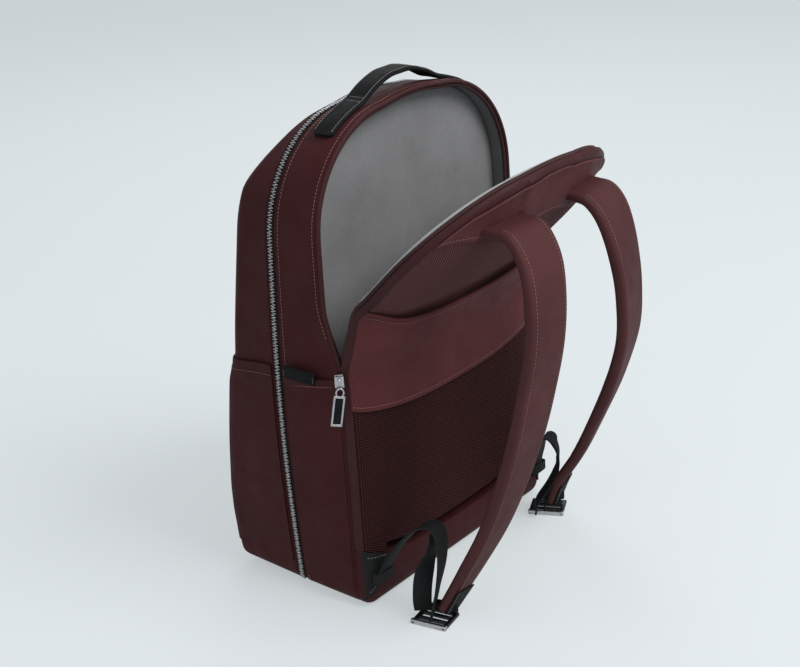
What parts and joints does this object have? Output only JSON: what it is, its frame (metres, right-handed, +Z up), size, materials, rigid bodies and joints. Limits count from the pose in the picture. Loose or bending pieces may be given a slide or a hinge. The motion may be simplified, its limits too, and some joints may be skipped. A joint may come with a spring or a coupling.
{
  "type": "travel backpack",
  "caption": "Arched laptop travel backpack with a clamshell zip front, zip-open hinged back panel, padded shoulder straps, top handle, slip pockets and a trolley sleeve.",
  "frame": {"origin": "on the flat underside, on the centre line, 60 mm in front of the back panel seam", "axes": "+Z up through the carry handle, -Y towards the wearer (back panel and straps), +Y out of the front panel"},
  "size_m": [0.3221, 0.3429, 0.4842],
  "materials": {
    "fabric": "coated ripstop canvas, maroon",
    "padded_mesh": "padded knit mesh, maroon",
    "lining": "plain woven lining, grey",
    "leather": "smooth grained leather, dark grey",
    "webbing": "woven webbing, charcoal",
    "zip_tape": "woven zip tape with teeth",
    "zip_metal": "satin metal",
    "buckle_metal": "satin grey cast metal"
  },
  "bodies": {
    "pack_body": {"gusset_wall": "fabric", "laptop_divider": "lining", "laptop_floor_pad": "lining", "back_frame_sheet": "lining", "back_base_band": "fabric", "back_pad_lower": "padded_mesh", "trolley_sleeve_lower": "fabric", "opening_zip_tape": "zip_tape", "main_zip_tape_rear": "zip_tape", "carry_handle": "leather", "handle_patch_right": "leather", "handle_patch_left": "leather", "side_pocket_right": "fabric", "side_pocket_left": "fabric", "side_tag": "leather", "webbing_rise_right": "webbing", "webbing_rise_left": "webbing", "webbing_tab_right": "webbing", "webbing_tab_left": "webbing", "webbing_keeper_right": "webbing", "webbing_keeper_left": "webbing", "laptop_zip_slider_right": "zip_metal", "laptop_zip_slider_left": "zip_metal"},
    "front_shell": {"front_shell": "fabric", "front_pocket_panel": "fabric", "main_zip_tape_front": "zip_tape"},
    "flap_lower": {"flap_pad_lower": "padded_mesh", "trolley_sleeve_upper": "fabric", "flap_lining_lower": "lining", "flap_zip_tape_right": "zip_tape", "flap_zip_tape_left": "zip_tape"},
    "flap_upper": {"flap_pad_upper": "padded_mesh", "flap_yoke": "fabric", "flap_lining_upper": "lining", "flap_zip_tape_upper": "zip_tape"},
    "strap_right": {"shoulder_strap_right": "padded_mesh", "strap_patch_right": "leather"},
    "buckle_right": {"buckle_right": "buckle_metal"},
    "webbing_end_right": {"webbing_fall_right": "webbing"},
    "laptop_pull_right": {"laptop_zip_pull_right": "zip_metal"},
    "strap_left": {"shoulder_strap_left": "padded_mesh", "strap_patch_left": "leather"},
    "buckle_left": {"buckle_left": "buckle_metal"},
    "webbing_end_left": {"webbing_fall_left": "webbing"},
    "laptop_pull_left": {"laptop_zip_pull_left": "zip_metal"},
    "main_slider_upper": {"main_zip_slider_upper": "zip_metal"},
    "main_pull_upper": {"main_zip_pull_upper": "zip_metal"},
    "main_slider_lower": {"main_zip_slider_lower": "zip_metal"},
    "main_pull_lower": {"main_zip_pull_lower": "zip_metal"}
  },
  "joints": [
    {"name": "front_opening", "type": "hinge", "parent": "pack_body", "child": "front_shell", "pos_m": [0, 0.079, 0.024], "axis": [-1, 0, 0], "range_deg": [0, 90]},
    {"name": "flap_fold", "type": "hinge", "parent": "pack_body", "child": "flap_lower", "pos_m": [0, -0.062, 0.245], "axis": [1, 0, 0], "range_deg": [-20, 0]},
    {"name": "flap_upper_fold", "type": "hinge", "parent": "flap_lower", "child": "flap_upper", "pos_m": [0, -0.08252, 0.30138], "axis": [1, 0, 0], "range_deg": [-25, 0]},
    {"name": "strap_swing_right", "type": "hinge", "parent": "flap_upper", "child": "strap_right", "pos_m": [-0.059, -0.191, 0.377], "axis": [1, 0, 0], "range_deg": [0, 32]},
    {"name": "webbing_follow_right", "type": "slide", "parent": "pack_body", "child": "webbing_end_right", "axis": [0, 0.2763, 0.9611], "range_m": [0, 0.06548], "deforming": ["webbing_fall_right", "webbing_rise_right"]},
    {"name": "strap_swing_left", "type": "hinge", "parent": "flap_upper", "child": "strap_left", "pos_m": [0.059, -0.191, 0.377], "axis": [1, 0, 0], "range_deg": [0, 27]},
    {"name": "webbing_follow_left", "type": "slide", "parent": "pack_body", "child": "webbing_end_left", "axis": [0, -0.2704, 0.9628], "range_m": [0, 0.05661], "deforming": ["webbing_fall_left", "webbing_rise_left"]},
    {"name": "buckle_tilt_right", "type": "hinge", "parent": "strap_right", "child": "buckle_right", "pos_m": [-0.10872, -0.13248, 0.004], "axis": [0.1736, -0.9848, 0], "range_deg": [0, 12]},
    {"name": "buckle_tilt_left", "type": "hinge", "parent": "strap_left", "child": "buckle_left", "pos_m": [0.12464, -0.09787, 0.004], "axis": [0.4226, -0.9063, 0], "range_deg": [0, 12]},
    {"name": "laptop_pull_swing_right", "type": "hinge", "parent": "pack_body", "child": "laptop_pull_right", "pos_m": [-0.1533, -0.0698, 0.229], "axis": [-0.7071, 0.7071, 0], "range_deg": [0, 110]},
    {"name": "laptop_pull_swing_left", "type": "hinge", "parent": "pack_body", "child": "laptop_pull_left", "pos_m": [0.1533, -0.0698, 0.229], "axis": [-0.7071, -0.7071, 0], "range_deg": [0, 110]},
    {"name": "main_slider_upper_travel", "type": "slide", "parent": "pack_body", "child": "main_slider_upper", "axis": [0, 0, 1], "range_m": [0, 0.06]},
    {"name": "main_slider_lower_travel", "type": "slide", "parent": "pack_body", "child": "main_slider_lower", "axis": [0, 0, -1], "range_m": [0, 0.04]},
    {"name": "main_pull_swing_upper", "type": "hinge", "parent": "main_slider_upper", "child": "main_pull_upper", "pos_m": [0.1636, 0.01, 0.1455], "axis": [0, -1, 0], "range_deg": [0, 110]},
    {"name": "main_pull_swing_lower", "type": "hinge", "parent": "main_slider_lower", "child": "main_pull_lower", "pos_m": [0.1636, 0.01, 0.1015], "axis": [0, -1, 0], "range_deg": [0, 110]}
  ],
  "couplings": [
    {"joint": "flap_upper_fold", "follows": "flap_fold", "ratio": 1.25},
    {"joint": "strap_swing_right", "follows": "flap_fold", "ratio": -1.6},
    {"joint": "webbing_follow_right", "follows": "flap_fold", "m_per_rad": -0.1873},
    {"joint": "strap_swing_left", "follows": "flap_fold", "ratio": -1.35},
    {"joint": "webbing_follow_left", "follows": "flap_fold", "m_per_rad": -0.1619}
  ]
}
